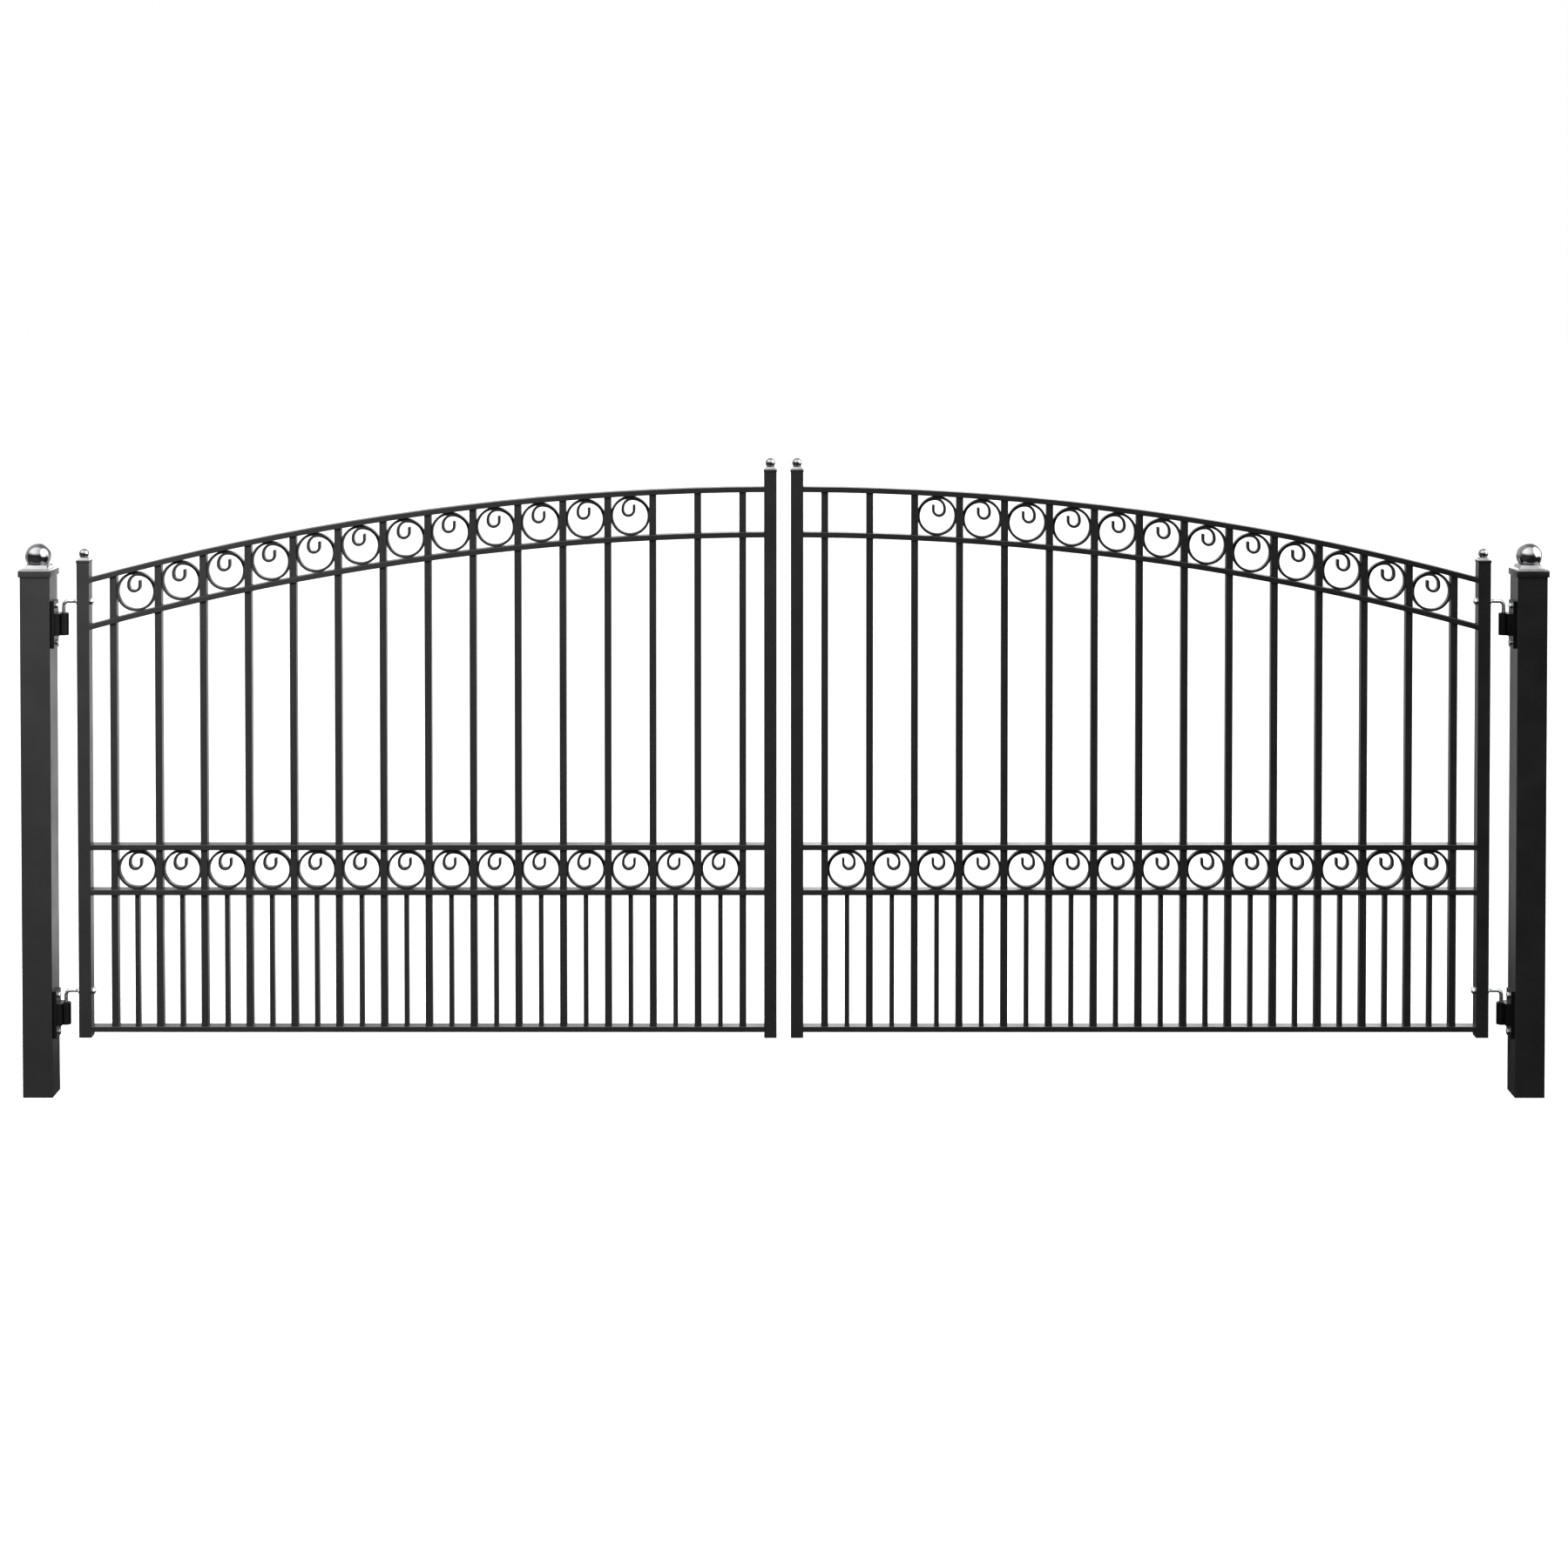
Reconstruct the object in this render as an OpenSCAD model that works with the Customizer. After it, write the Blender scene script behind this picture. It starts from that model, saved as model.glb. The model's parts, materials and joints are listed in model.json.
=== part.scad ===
// Double-leaf arched driveway gate between two square posts.
// X runs along the gate, -Y is the street side and +Z is up. The origin is on the ground,
// midway between the posts. The left half is drawn and the right half is its mirror image.

/* [Opening] */
// Clear width between the two posts
opening_w = 4880; // [3600:10:6400]
// Gap between each leaf and its post
hinge_gap = 85; // [80:1:120]
// Gap between the two leaves where they meet
meeting_gap = 47; // [20:1:90]
// Gap under the leaves
ground_gap = 197; // [60:1:300]

/* [Leaf heights] */
// Underside of the upper arch rail at the meeting edge, above the ground
crown_h = 2024; // [1650:1:2500]
// Rise of the arch from the hinge stile to the meeting edge
arch_rise = 304; // [150:1:420]
// Underside of the lower middle rail, above the ground
mid_rail_h = 676; // [560:1:820]
// Clear height of a scroll band between its two rails
band_gap = 133; // [105:1:165]
// Length of the stiles below the bottom rail
stile_foot = 19.4; // [5:0.2:60]
// Length of the stile tubes above the upper arch rail
stile_rise = 57; // [30:1:120]

/* [Leaf sections] */
// Width of the stiles
stile_w = 42; // [34:1:60]
// Depth of the stiles and rails
frame_d = 46; // [40:1:60]
// Wall of the stile tubes
stile_wall = 2.5; // [1.5:0.1:4]
// Height of the rails
rail_h = 18; // [14:0.5:26]
// Wall of the rail tubes
rail_wall = 2; // [1.2:0.1:3]
// Width of the tall pickets
picket_w = 23; // [18:0.5:30]
// Depth of the tall pickets
picket_d = 32; // [24:0.5:36]
// Wall of the tall pickets
picket_wall = 1.5; // [1:0.1:2.5]
// Width of the short pickets
short_w = 15.5; // [12:0.5:20]
// Depth of the short pickets
short_d = 28; // [18:0.5:34]
// Wall of the short pickets
short_wall = 1.2; // [1:0.1:2]

/* [Picket spacing] */
// Nearest pitch of the tall pickets; the whole number of bays is worked out from it
pitch_wanted = 150; // [145:1:155]
// Gap between the hinge stile and the first picket
hinge_end_gap = 66.6; // [40:0.2:90]
// Gap between the meeting stile and the last picket
meeting_end_gap = 59.8; // [40:0.2:90]
// Bays of the arch band that stay plain, next to the meeting stile
plain_bays = 2; // [0:1:4]

/* [Scrolls] */
// Thickness of the scroll bar, seen from the front
scroll_t = 8.6; // [6:0.2:11]
// Depth of the scroll bar
scroll_d = 24; // [12:0.5:30]

/* [Posts] */
// Side of the square posts
post_w = 100; // [80:1:150]
// Wall of the posts
post_wall = 3; // [2:0.5:6]
// Height of a post above its upper hinge plate
post_above_plate = 81; // [60:1:200]
// Overhang of a post cap on each side
cap_overhang = 4.5; // [3.5:0.1:8]
// Height of a post cap's skirt
cap_skirt_h = 22.4; // [15:0.1:40]
// Diameter of the balls on the posts
post_ball_d = 85.6; // [76:0.2:100]

/* [Stile caps] */
// Overhang of a stile cap on each side
stile_cap_overhang = 1.2; // [1:0.1:3]
// Height of a stile cap's skirt
stile_cap_h = 9.5; // [6:0.5:20]
// Diameter of the balls on the stiles
stile_ball_d = 33.4; // [30:0.2:38]

/* [Hinges] */
// Height of the post plates
plate_h = 158; // [150:1:200]
// Depth of the post plates
plate_d = 58; // [50:1:64]
// Thickness of the post plates
plate_t = 12.5; // [8:0.5:14]
// Thickness of the pad between a plate and its barrel
pad_t = 8.5; // [6:0.5:10]
// Outer diameter of the barrels
barrel_d = 33; // [30:0.5:36]
// Height of the barrels
barrel_h = 73.5; // [60:0.5:80]
// Diameter of the J-bolts
jbolt_d = 13; // [10:0.5:14]
// Centreline radius of the J-bolts' bend
jbolt_bend_r = 15; // [13:0.5:20]
// Height of the J-bolts' level leg above the middle of the barrel
jbolt_up = 76; // [66:0.5:90]
// Level leg of the upper J-bolt below the upper arch rail, at the hinge stile
upper_jbolt_down = 62; // [40:1:200]
// Level leg of the lower J-bolt above the bottom rail
lower_jbolt_up = 117; // [90:1:300]
// Distance of a plate bolt from the middle of its plate
plate_bolt_off = 61; // [56:1:64]

/* [Hidden] */
$fn = 64;

// Fits and small details
weld_gap = 0.15;      // between welded pieces that meet on a curve, and around punched pickets
run_clearance = 0.05; // radial, J-bolt in its bushing
press_clearance = 0.02; // radial, bushing in its barrel
thrust_gap = 0.3;     // under the J-bolt's foot
post_corner = 3;
tube_corner = 1.5;
cap_fit = 0.3;        // around a post, inside its cap
stile_cap_fit = 0.1;
cap_bevel = 4;
cap_plate_t = 3;
stile_plate_t = 2;
ball_wall = 1.6;
pedestal_step = 5;
pedestal_round = 9;
stile_pedestal_step = 2.4;
stile_pedestal_round = 4.6;
bushing_wall = 1.9;
bushing_flange_t = 2;
bushing_flange_over = 1.6;
bushing_floor = 3;
nut_af = 21;          // across flats, J-bolt nuts
nut_t = 9;
jam_nut_t = 5;
thread_past_nut = 2.5;
plate_bolt_d = 10;
plate_bolt_af = 17;
plate_bolt_head = 7;
plate_bolt_past_wall = 8;
bolt_hole_over = 0.4; // added to a bolt's diameter for its hole
hex = 6;              // sides of a nut or a bolt head
arch_fn = 1440;
arch_over = 0.01;     // degrees that a curved rail is drawn past each stile before it is trimmed
cut = 1;              // how far a cutting shape runs past what it cuts

// Leaf, left half
leaf_y = -11;
outer_x = -opening_w / 2 + hinge_gap;
meet_x = -meeting_gap / 2;
hinge_stile_x = outer_x + stile_w / 2;
meeting_stile_x = meet_x - stile_w / 2;
clear_x0 = outer_x + stile_w;
clear_x1 = meet_x - stile_w;
clear_w = clear_x1 - clear_x0;

// Arch: every curved edge shares one centre, under the meeting edge
arch_reach = meet_x - clear_x0;
arch_r = (arch_reach * arch_reach + arch_rise * arch_rise) / (2 * arch_rise);
arch_z = crown_h - arch_r;
lower_arch_r = arch_r - band_gap - rail_h;
function arc_height(r, x) = arch_z + sqrt(r * r - (x - meet_x) * (x - meet_x));

// Straight rails, by their undersides
bottom_rail_z = ground_gap + stile_foot;
bottom_rail_top = bottom_rail_z + rail_h;
lower_mid_z = mid_rail_h;
lower_mid_top = lower_mid_z + rail_h;
upper_mid_z = lower_mid_top + band_gap;

// Pickets and bays
picket_run = clear_w - hinge_end_gap - meeting_end_gap - picket_w;
bays = round(picket_run / pitch_wanted);
pitch = picket_run / bays;
picket_x0 = clear_x0 + hinge_end_gap + picket_w / 2;
function picket_x(i) = picket_x0 + i * pitch;
function bay_x(i) = picket_x(i) + pitch / 2;
bay_clear = pitch - picket_w;

// Stiles and their caps
hinge_stile_top = arc_height(arch_r + rail_h, clear_x0) + stile_rise;
meeting_stile_top = arc_height(arch_r + rail_h, clear_x1) + stile_rise;
stile_cap_out = stile_cap_overhang;

// Hinges, by the middle of each barrel
axis_out = plate_t + pad_t + barrel_d / 2;
axis_x = -opening_w / 2 + axis_out;
upper_hinge_z = arc_height(arch_r, clear_x0) - upper_jbolt_down - jbolt_up;
lower_hinge_z = bottom_rail_top + lower_jbolt_up - jbolt_up;
bushing_r = jbolt_d / 2 + run_clearance + bushing_wall;

// Posts
post_x = -(opening_w + post_w) / 2;
post_h = upper_hinge_z + plate_h / 2 + post_above_plate + cap_skirt_h;
post_cap_w = post_w + 2 * cap_overhang;
post_cap_top = post_h + cap_plate_t;

powder_black = [0.13, 0.13, 0.14];
hinge_black = [0.07, 0.07, 0.07];
gloss_black = [0.05, 0.05, 0.06];
zinc = [0.78, 0.79, 0.81];
bronze = [0.72, 0.60, 0.38];

// ---- shared shapes ----

module mirrored() { mirror([1, 0, 0]) children(); }

// Turns a drawing in X and Z into a slab of depth d about the leaf's middle plane
module leaf_slab(d) {
    translate([0, leaf_y + d / 2, 0]) rotate([90, 0, 0]) linear_extrude(d) children();
}

module rounded_rect(w, d, r) {
    square([w - 2 * r, d], center = true);
    square([w, d - 2 * r], center = true);
    for (sx = [-1, 1], sy = [-1, 1])
        translate([sx * (w / 2 - r), sy * (d / 2 - r)]) circle(r);
}

module tube_section(w, d, wall, r) {
    difference() {
        rounded_rect(w, d, r);
        square([w - 2 * wall, d - 2 * wall], center = true);
    }
}

// Upright rectangular tube from z0 to z1
module upright(x, y, z0, z1, w, d, wall, r) {
    translate([x, y, z0]) linear_extrude(z1 - z0) tube_section(w, d, wall, r);
}

// Square block whose upper edges are a step and a quarter round
module pedestal(base_x, base_y, step, r) {
    intersection() {
        pedestal_prism(base_x, base_y, step, r);
        rotate([0, 0, 90]) pedestal_prism(base_y, base_x, step, r);
    }
}

module pedestal_prism(base_x, base_y, step, r) {
    translate([0, base_y / 2, 0]) rotate([90, 0, 0]) linear_extrude(base_y) {
        translate([-base_x / 2, 0]) square([base_x, step]);
        translate([-base_x / 2 + r, 0]) square([base_x - 2 * r, step + r]);
        for (side = [-1, 1]) intersection() {
            translate([side * (base_x / 2 - r), step]) circle(r);
            translate([side * (base_x / 2 - r / 2), step + r / 2]) square([r, r], center = true);
        }
    }
}

// Hollow ball, cut flat and open where it sits, centred sit above its seat
module seated_ball(d, sit) {
    intersection() {
        translate([0, 0, sit]) difference() {
            sphere(d = d);
            sphere(d = d - 2 * ball_wall);
        }
        translate([-d, -d, 0]) cube([2 * d, 2 * d, 2 * d]);
    }
}

// ---- posts ----

module post() {
    color(powder_black) difference() {
        upright(post_x, 0, 0, post_h, post_w, post_w, post_wall, post_corner);
        for (z = [upper_hinge_z, lower_hinge_z], off = [-1, 1])
            translate([-opening_w / 2 - post_wall - cut, leaf_y, z + off * plate_bolt_off])
                rotate([0, 90, 0]) cylinder(d = plate_bolt_d + bolt_hole_over, h = post_wall + 2 * cut);
    }
}

module post_cap() {
    wall_in = post_w + 2 * cap_fit;
    pedestal_w = post_ball_d;
    color(gloss_black) translate([post_x, 0, 0]) difference() {
        union() {
            translate([0, 0, post_h - cap_skirt_h])
                linear_extrude(cap_skirt_h + cap_plate_t - cap_bevel)
                    rounded_rect(post_cap_w, post_cap_w, post_corner);
            intersection() {
                cap_bevel_prism();
                rotate([0, 0, 90]) cap_bevel_prism();
            }
            translate([0, 0, post_cap_top])
                pedestal(pedestal_w, pedestal_w, pedestal_step, pedestal_round);
        }
        translate([-wall_in / 2, -wall_in / 2, post_h - cap_skirt_h - cut])
            cube([wall_in, wall_in, cap_skirt_h + cut]);
    }
}

// The bevelled top of a post cap, as a prism along Y
module cap_bevel_prism() {
    half = post_cap_w / 2;
    z0 = post_cap_top - cap_bevel;
    translate([0, half, 0]) rotate([90, 0, 0]) linear_extrude(post_cap_w)
        polygon([[-half, z0], [half, z0], [half - cap_bevel, post_cap_top], [cap_bevel - half, post_cap_top]]);
}

module post_ball() {
    sit = post_ball_d * 0.305;
    color(gloss_black)
        translate([post_x, 0, post_cap_top + pedestal_step + pedestal_round]) seated_ball(post_ball_d, sit);
}

// ---- hinges: plate, barrel and bushing on the post ----

module hinge_plate(z) {
    color(hinge_black) translate([-opening_w / 2, leaf_y, z]) difference() {
        union() {
            translate([0, -plate_d / 2, -plate_h / 2]) cube([plate_t, plate_d, plate_h]);
            translate([0, -plate_d / 2 + 3, -barrel_h / 2]) cube([axis_out - barrel_d / 4, plate_d - 6, barrel_h]);
        }
        translate([axis_out, 0, -barrel_h / 2 - cut])
            cylinder(r = barrel_d / 2 + weld_gap, h = barrel_h + 2 * cut);
        for (off = [-1, 1]) translate([-cut, 0, off * plate_bolt_off])
            rotate([0, 90, 0]) cylinder(d = plate_bolt_d + bolt_hole_over, h = plate_t + 2 * cut);
    }
}

module barrel(z) {
    color(hinge_black) translate([axis_x, leaf_y, z]) difference() {
        cylinder(d = barrel_d, h = barrel_h, center = true);
        cylinder(r = bushing_r + press_clearance, h = barrel_h + 2 * cut, center = true);
    }
}

// A flanged cup: its flange rests on the barrel, and its floor carries the J-bolt
module bushing(z) {
    cup_z = -barrel_h / 2 + 1;
    color(bronze) translate([axis_x, leaf_y, z]) difference() {
        union() {
            translate([0, 0, cup_z]) cylinder(r = bushing_r, h = barrel_h / 2 - cup_z);
            translate([0, 0, barrel_h / 2])
                cylinder(r = bushing_r + bushing_flange_over, h = bushing_flange_t);
        }
        translate([0, 0, cup_z + bushing_floor])
            cylinder(r = jbolt_d / 2 + run_clearance, h = barrel_h + bushing_flange_t);
    }
}

module plate_bolts() {
    shank = plate_t + post_wall + plate_bolt_past_wall;
    color(zinc) for (z = [upper_hinge_z, lower_hinge_z], off = [-1, 1])
        translate([-opening_w / 2 + plate_t, leaf_y, z + off * plate_bolt_off]) rotate([0, 90, 0]) {
            cylinder(d = plate_bolt_af / cos(30), h = plate_bolt_head, $fn = hex);
            translate([0, 0, -shank]) cylinder(d = plate_bolt_d, h = shank);
        }
}

// ---- hinges: J-bolt and nuts on the leaf ----

module j_bolt(z) {
    foot = -barrel_h / 2 + 1 + bushing_floor + thrust_gap;
    level_end = clear_x0 + nut_t + thread_past_nut;
    color(zinc) {
        translate([axis_x, leaf_y, z + foot]) cylinder(d = jbolt_d, h = jbolt_up - jbolt_bend_r - foot);
        translate([axis_x + jbolt_bend_r, leaf_y, z + jbolt_up - jbolt_bend_r]) rotate([90, 0, 0])
            rotate_extrude(angle = 90, start = 90) translate([jbolt_bend_r, 0]) circle(d = jbolt_d);
        translate([axis_x + jbolt_bend_r, leaf_y, z + jbolt_up]) rotate([0, 90, 0])
            cylinder(d = jbolt_d, h = level_end - axis_x - jbolt_bend_r);
    }
}

// A hex nut on the level leg, from x towards the meeting edge
module leg_nut(x, z, t) {
    translate([x, leaf_y, z]) rotate([0, 90, 0]) difference() {
        cylinder(d = nut_af / cos(30), h = t, $fn = hex);
        translate([0, 0, -cut]) cylinder(r = jbolt_d / 2 + run_clearance, h = t + 2 * cut);
    }
}

module jam_nuts() {
    color(zinc) for (z = [upper_hinge_z, lower_hinge_z]) leg_nut(outer_x - jam_nut_t, z + jbolt_up, jam_nut_t);
}

module stile_nuts() {
    color(zinc) for (z = [upper_hinge_z, lower_hinge_z]) leg_nut(clear_x0, z + jbolt_up, nut_t);
}

// ---- leaf frame ----

module stile(x, top) {
    upright(x, leaf_y, ground_gap, top, stile_w, frame_d, stile_wall, tube_corner);
}

module hinge_stile() {
    color(powder_black) difference() {
        stile(hinge_stile_x, hinge_stile_top);
        for (z = [upper_hinge_z, lower_hinge_z]) translate([outer_x - cut, leaf_y, z + jbolt_up])
            rotate([0, 90, 0]) cylinder(d = jbolt_d + bolt_hole_over, h = stile_w + 2 * cut);
    }
}

module meeting_stile() {
    color(powder_black) stile(meeting_stile_x, meeting_stile_top);
}

module stile_cap(x, top) {
    out_x = stile_w + 2 * stile_cap_out;
    out_y = frame_d + 2 * stile_cap_out;
    in_x = stile_w + 2 * stile_cap_fit;
    in_y = frame_d + 2 * stile_cap_fit;
    skirt_z = top + stile_plate_t - stile_cap_h;
    pedestal_w = stile_w - 5;
    color(gloss_black) translate([x, leaf_y, 0]) difference() {
        union() {
            translate([0, 0, skirt_z]) linear_extrude(stile_cap_h)
                rounded_rect(out_x, out_y, tube_corner);
            translate([0, 0, top + stile_plate_t])
                pedestal(pedestal_w, pedestal_w, stile_pedestal_step, stile_pedestal_round);
        }
        translate([-in_x / 2, -in_y / 2, skirt_z - cut]) cube([in_x, in_y, stile_cap_h - stile_plate_t + cut]);
    }
}

module stile_ball(x, top) {
    sit = stile_ball_d * 0.37;
    color(gloss_black)
        translate([x, leaf_y, top + stile_plate_t + stile_pedestal_step + stile_pedestal_round])
            seated_ball(stile_ball_d, sit);
}

// Straight rail tube between the stiles, with its underside at z
module straight_rail(z) {
    translate([clear_x0, leaf_y, z + rail_h / 2]) rotate([90, 0, 90]) linear_extrude(clear_w)
        tube_section(frame_d, rail_h, rail_wall, tube_corner);
}

// Curved rail tube between the stiles, with its underside on radius r
module arch_rail(r) {
    from = 90 + asin((meet_x - clear_x1) / (r + rail_h)) - arch_over;
    to = 90 + asin(arch_reach / r) + arch_over;
    intersection() {
        translate([meet_x, leaf_y, arch_z]) rotate([90, 0, 0]) rotate([0, 0, from])
            rotate_extrude(angle = to - from, $fn = arch_fn)
                translate([r + rail_h / 2, 0]) tube_section(rail_h, frame_d, rail_wall, tube_corner);
        translate([clear_x0, leaf_y - frame_d, 0]) cube([clear_w, 2 * frame_d, crown_h + 2 * rail_h]);
    }
}

// Punches the slots that the tall pickets pass through
module picket_slots(z0, z1) {
    for (i = [0:bays]) translate([picket_x(i), leaf_y, (z0 + z1) / 2])
        cube([picket_w + 2 * weld_gap, picket_d + 2 * weld_gap, z1 - z0], center = true);
}

module bottom_rail() { color(powder_black) straight_rail(bottom_rail_z); }

module lower_mid_rail() {
    color(powder_black) difference() {
        straight_rail(lower_mid_z);
        picket_slots(lower_mid_z - cut, lower_mid_top + cut);
    }
}

module upper_mid_rail() {
    color(powder_black) difference() {
        straight_rail(upper_mid_z);
        picket_slots(upper_mid_z - cut, upper_mid_z + rail_h + cut);
    }
}

module lower_arch_rail() {
    color(powder_black) difference() {
        arch_rail(lower_arch_r);
        picket_slots(upper_mid_z + 2 * rail_h, crown_h);
    }
}

module upper_arch_rail() { color(powder_black) arch_rail(arch_r); }

// ---- pickets ----

module tall_pickets() {
    color(powder_black) for (i = [0:bays]) {
        x0 = picket_x(i) - picket_w / 2;
        x1 = picket_x(i) + picket_w / 2;
        intersection() {
            upright(picket_x(i), leaf_y, bottom_rail_top, crown_h, picket_w, picket_d, picket_wall, tube_corner);
            leaf_slab(2 * picket_d) polygon([
                [x0, bottom_rail_top - cut], [x1, bottom_rail_top - cut],
                [x1, arc_height(arch_r - weld_gap, x1)], [x0, arc_height(arch_r - weld_gap, x0)]
            ]);
        }
    }
}

module short_pickets() {
    color(powder_black) for (i = [0:bays - 1])
        upright(bay_x(i), leaf_y, bottom_rail_top, lower_mid_z, short_w, short_d, short_wall, tube_corner);
}

// ---- scrolls ----

// Part of a ring of bar about the point at, from angle a0 to a1, which is under 180 degrees on
module arc_bar(at, r, a0, a1) {
    far = 2 * (r + scroll_t);
    mid = (a0 + a1) / 2;
    translate(at) intersection() {
        difference() {
            circle(r + scroll_t / 2);
            circle(r - scroll_t / 2);
        }
        polygon([[0, 0], far * [cos(a0), sin(a0)], far * [cos(mid), sin(mid)], far * [cos(a1), sin(a1)]]);
    }
}

module straight_bar(x, z0, z1) {
    translate([x - scroll_t / 2, z0]) square([scroll_t, z1 - z0]);
}

// One scroll: a closed ring whose bar runs on inside into a hooked curl
module scroll(x, z) {
    ring_r = band_gap / 2 - weld_gap;
    turn_x = ring_r * 0.11;
    turn_r = ring_r * 0.487;
    turn_z = ring_r * 0.369;
    join_r = ring_r * 0.83;
    join_z = turn_z + turn_r - join_r;
    hook_r = ring_r * 0.284;
    hook_x = turn_x - turn_r + hook_r;
    hook_z = ring_r * 0.294;
    tip_z = ring_r * 0.564;
    leaf_slab(scroll_d) translate([x, z]) intersection() {
        union() {
            difference() {
                circle(ring_r);
                circle(ring_r - scroll_t);
            }
            arc_bar([turn_x, join_z], join_r, 14, 90);
            arc_bar([turn_x, turn_z], turn_r, 90, 180);
            straight_bar(hook_x - hook_r, hook_z, turn_z);
            arc_bar([hook_x, hook_z], hook_r, 180, 270);
            arc_bar([hook_x, hook_z], hook_r, 270, 360);
            straight_bar(hook_x + hook_r, hook_z, tip_z);
        }
        square([bay_clear, 3 * ring_r], center = true);
    }
}

module band_scrolls() {
    color(powder_black) for (i = [0:bays - 1]) scroll(bay_x(i), lower_mid_top + band_gap / 2);
}

module arch_scrolls() {
    color(powder_black) for (i = [0:bays - 1 - plain_bays])
        scroll(bay_x(i), arc_height(arch_r - band_gap / 2, bay_x(i)));
}

// ---- sub-parts, left then right ----

module left_post() { post(); }
module right_post() { mirrored() post(); }
module left_post_cap() { post_cap(); }
module right_post_cap() { mirrored() post_cap(); }
module left_post_ball() { post_ball(); }
module right_post_ball() { mirrored() post_ball(); }
module left_upper_hinge_plate() { hinge_plate(upper_hinge_z); }
module left_lower_hinge_plate() { hinge_plate(lower_hinge_z); }
module right_upper_hinge_plate() { mirrored() hinge_plate(upper_hinge_z); }
module right_lower_hinge_plate() { mirrored() hinge_plate(lower_hinge_z); }
module left_upper_barrel() { barrel(upper_hinge_z); }
module left_lower_barrel() { barrel(lower_hinge_z); }
module right_upper_barrel() { mirrored() barrel(upper_hinge_z); }
module right_lower_barrel() { mirrored() barrel(lower_hinge_z); }
module left_upper_bushing() { bushing(upper_hinge_z); }
module left_lower_bushing() { bushing(lower_hinge_z); }
module right_upper_bushing() { mirrored() bushing(upper_hinge_z); }
module right_lower_bushing() { mirrored() bushing(lower_hinge_z); }
module left_plate_bolts() { plate_bolts(); }
module right_plate_bolts() { mirrored() plate_bolts(); }
module left_upper_j_bolt() { j_bolt(upper_hinge_z); }
module left_lower_j_bolt() { j_bolt(lower_hinge_z); }
module right_upper_j_bolt() { mirrored() j_bolt(upper_hinge_z); }
module right_lower_j_bolt() { mirrored() j_bolt(lower_hinge_z); }
module left_jam_nuts() { jam_nuts(); }
module right_jam_nuts() { mirrored() jam_nuts(); }
module left_stile_nuts() { stile_nuts(); }
module right_stile_nuts() { mirrored() stile_nuts(); }
module left_hinge_stile() { hinge_stile(); }
module right_hinge_stile() { mirrored() hinge_stile(); }
module left_meeting_stile() { meeting_stile(); }
module right_meeting_stile() { mirrored() meeting_stile(); }
module left_hinge_stile_cap() { stile_cap(hinge_stile_x, hinge_stile_top); }
module right_hinge_stile_cap() { mirrored() stile_cap(hinge_stile_x, hinge_stile_top); }
module left_meeting_stile_cap() { stile_cap(meeting_stile_x, meeting_stile_top); }
module right_meeting_stile_cap() { mirrored() stile_cap(meeting_stile_x, meeting_stile_top); }
module left_hinge_stile_ball() { stile_ball(hinge_stile_x, hinge_stile_top); }
module right_hinge_stile_ball() { mirrored() stile_ball(hinge_stile_x, hinge_stile_top); }
module left_meeting_stile_ball() { stile_ball(meeting_stile_x, meeting_stile_top); }
module right_meeting_stile_ball() { mirrored() stile_ball(meeting_stile_x, meeting_stile_top); }
module left_bottom_rail() { bottom_rail(); }
module right_bottom_rail() { mirrored() bottom_rail(); }
module left_lower_mid_rail() { lower_mid_rail(); }
module right_lower_mid_rail() { mirrored() lower_mid_rail(); }
module left_upper_mid_rail() { upper_mid_rail(); }
module right_upper_mid_rail() { mirrored() upper_mid_rail(); }
module left_lower_arch_rail() { lower_arch_rail(); }
module right_lower_arch_rail() { mirrored() lower_arch_rail(); }
module left_upper_arch_rail() { upper_arch_rail(); }
module right_upper_arch_rail() { mirrored() upper_arch_rail(); }
module left_tall_pickets() { tall_pickets(); }
module right_tall_pickets() { mirrored() tall_pickets(); }
module left_short_pickets() { short_pickets(); }
module right_short_pickets() { mirrored() short_pickets(); }
module left_band_scrolls() { band_scrolls(); }
module right_band_scrolls() { mirrored() band_scrolls(); }
module left_arch_scrolls() { arch_scrolls(); }
module right_arch_scrolls() { mirrored() arch_scrolls(); }

left_post();
right_post();
left_post_cap();
right_post_cap();
left_post_ball();
right_post_ball();
left_upper_hinge_plate();
left_lower_hinge_plate();
right_upper_hinge_plate();
right_lower_hinge_plate();
left_upper_barrel();
left_lower_barrel();
right_upper_barrel();
right_lower_barrel();
left_upper_bushing();
left_lower_bushing();
right_upper_bushing();
right_lower_bushing();
left_plate_bolts();
right_plate_bolts();
left_upper_j_bolt();
left_lower_j_bolt();
right_upper_j_bolt();
right_lower_j_bolt();
left_jam_nuts();
right_jam_nuts();
left_stile_nuts();
right_stile_nuts();
left_hinge_stile();
right_hinge_stile();
left_meeting_stile();
right_meeting_stile();
left_hinge_stile_cap();
right_hinge_stile_cap();
left_meeting_stile_cap();
right_meeting_stile_cap();
left_hinge_stile_ball();
right_hinge_stile_ball();
left_meeting_stile_ball();
right_meeting_stile_ball();
left_bottom_rail();
right_bottom_rail();
left_lower_mid_rail();
right_lower_mid_rail();
left_upper_mid_rail();
right_upper_mid_rail();
left_lower_arch_rail();
right_lower_arch_rail();
left_upper_arch_rail();
right_upper_arch_rail();
left_tall_pickets();
right_tall_pickets();
left_short_pickets();
right_short_pickets();
left_band_scrolls();
right_band_scrolls();
left_arch_scrolls();
right_arch_scrolls();
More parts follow.
